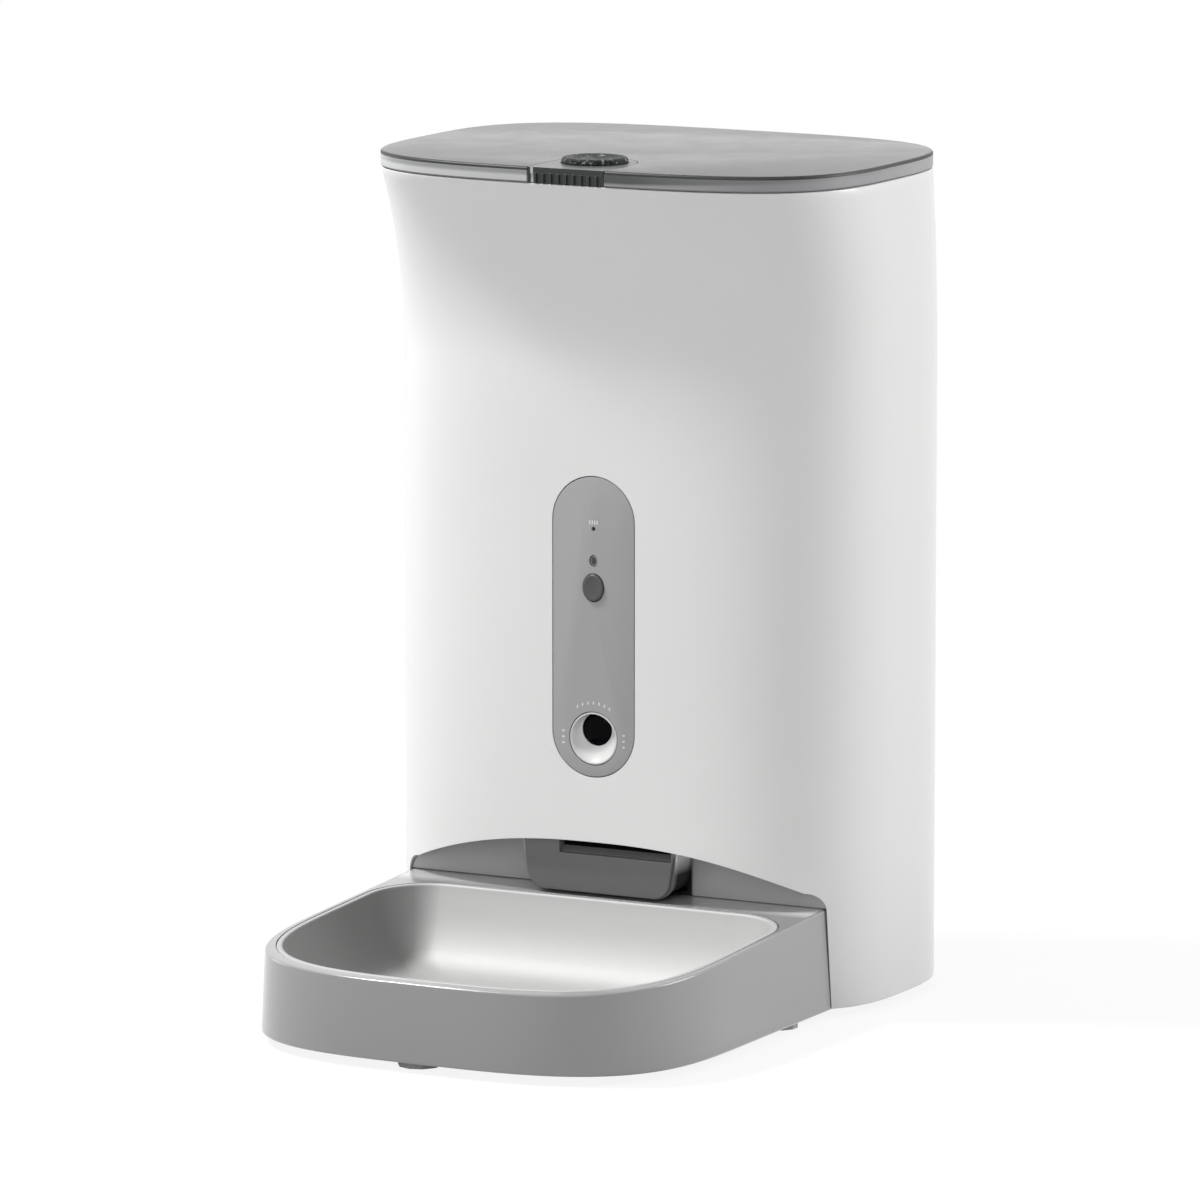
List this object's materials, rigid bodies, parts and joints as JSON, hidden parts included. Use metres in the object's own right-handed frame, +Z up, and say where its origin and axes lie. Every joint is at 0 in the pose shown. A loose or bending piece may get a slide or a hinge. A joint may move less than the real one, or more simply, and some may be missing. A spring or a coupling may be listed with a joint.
{
  "type": "camera pet feeder",
  "caption": "Tall camera feeder: oval hopper housing with smoked hinged lid, front camera panel, rotor and chute over a steel bowl in a tray.",
  "frame": {"origin": "middle of the footprint box on the floor", "axes": "+Z up, -Y towards the bowl, +X to the right seen from the front"},
  "size_m": [0.196, 0.2606, 0.3133],
  "materials": {
    "white_plastic": "satin moulded",
    "grey_plastic": "satin moulded",
    "dark_plastic": "satin moulded",
    "panel_plastic": "smooth satin",
    "bowl_steel": "satin pressed",
    "lid_smoke": "clear smoked, glossy",
    "black_plastic": "glossy",
    "lens_glass": "polished",
    "circuit_board": "solder mask",
    "natural_plastic": "moulded",
    "silicone": "matte",
    "acetal": "smooth",
    "foot_rubber": "matte",
    "light_pipe": "frosted",
    "brass": "machined",
    "steel": "zinc plated"
  },
  "bodies": {
    "feeder": {"outer_shell": "white_plastic", "camera_bezel": "white_plastic", "base_housing": "grey_plastic", "base_plate": "grey_plastic", "battery_door": "grey_plastic", "chute": "dark_plastic", "spout_cover": "dark_plastic", "gearbox_housing": "dark_plastic", "gearbox_cover": "dark_plastic", "front_panel": "panel_plastic", "camera_barrel": "black_plastic", "push_switch": "black_plastic", "dc_jack": "black_plastic", "speaker": "black_plastic", "camera_lens": "lens_glass", "main_board": "circuit_board", "front_board": "circuit_board", "camera_board": "circuit_board", "mid_frame": "natural_plastic", "rotor_chamber": "natural_plastic", "outlet_baffle": "natural_plastic", "hopper": "natural_plastic", "battery_bay": "natural_plastic", "shaft_bush": "acetal", "foot_left": "foot_rubber", "foot_right": "foot_rubber", "foot_rear_left": "foot_rubber", "foot_rear_right": "foot_rubber", "foot_front": "foot_rubber", "status_led": "light_pipe", "hinge_pin_left": "steel", "hinge_pin_right": "steel", "base_screw_1": "steel", "base_screw_2": "steel", "base_screw_3": "steel", "base_screw_4": "steel", "idler_axle": "steel", "motor": "steel", "microphone": "steel", "battery_contact_front": "steel", "battery_contact_rear": "steel", "latch_keeper": "steel"},
    "lid": {"lid_panel": "lid_smoke", "lid_frame": "grey_plastic", "lid_seal": "silicone", "latch_bezel": "dark_plastic", "desiccant_box": "natural_plastic"},
    "latch_button": {"latch_button": "black_plastic"},
    "latch_bolt": {"latch_bolt": "acetal"},
    "rotor": {"rotor_wheel": "silicone", "agitator": "natural_plastic", "drive_shaft": "steel", "output_gear": "acetal"},
    "idler": {"idler_gear": "acetal"},
    "pinion": {"motor_pinion": "brass"},
    "feed_button": {"feed_button": "black_plastic"},
    "bowl": {"bowl": "bowl_steel"}
  },
  "joints": [
    {"name": "lid_hinge", "type": "hinge", "parent": "feeder", "child": "lid", "pos_m": [0, 0.1277, 0.303], "axis": [-1, 0, 0], "range_deg": [0, 100]},
    {"name": "latch_press", "type": "slide", "parent": "lid", "child": "latch_button", "axis": [0, 0, -1], "range_m": [0, 0.0024], "stiffness_N_per_m": 400, "springref_m": -0.001},
    {"name": "latch_bolt_slide", "type": "slide", "parent": "lid", "child": "latch_bolt", "axis": [0, 1, 0], "range_m": [0, 0.0024]},
    {"name": "rotor_spin", "type": "hinge", "parent": "feeder", "child": "rotor", "pos_m": [0, 0.0641, 0.09], "axis": [0, 0, 1], "continuous": true},
    {"name": "idler_spin", "type": "hinge", "parent": "feeder", "child": "idler", "pos_m": [0.0355, 0.0641, 0.07], "axis": [0, 0, 1], "continuous": true},
    {"name": "pinion_spin", "type": "hinge", "parent": "feeder", "child": "pinion", "pos_m": [0.059, 0.0641, 0.07], "axis": [0, 0, 1], "continuous": true},
    {"name": "feed_button_press", "type": "slide", "parent": "feeder", "child": "feed_button", "axis": [0, 1, 0], "range_m": [0, 0.0008], "stiffness_N_per_m": 400, "springref_m": -0.0005},
    {"name": "bowl_lift", "type": "slide", "parent": "feeder", "child": "bowl", "axis": [0, 0, 1], "range_m": [0, 0.014]}
  ],
  "couplings": [
    {"joint": "latch_bolt_slide", "follows": "latch_press", "ratio": 1},
    {"joint": "idler_spin", "follows": "rotor_spin", "ratio": -1.0286},
    {"joint": "pinion_spin", "follows": "rotor_spin", "ratio": 3}
  ]
}
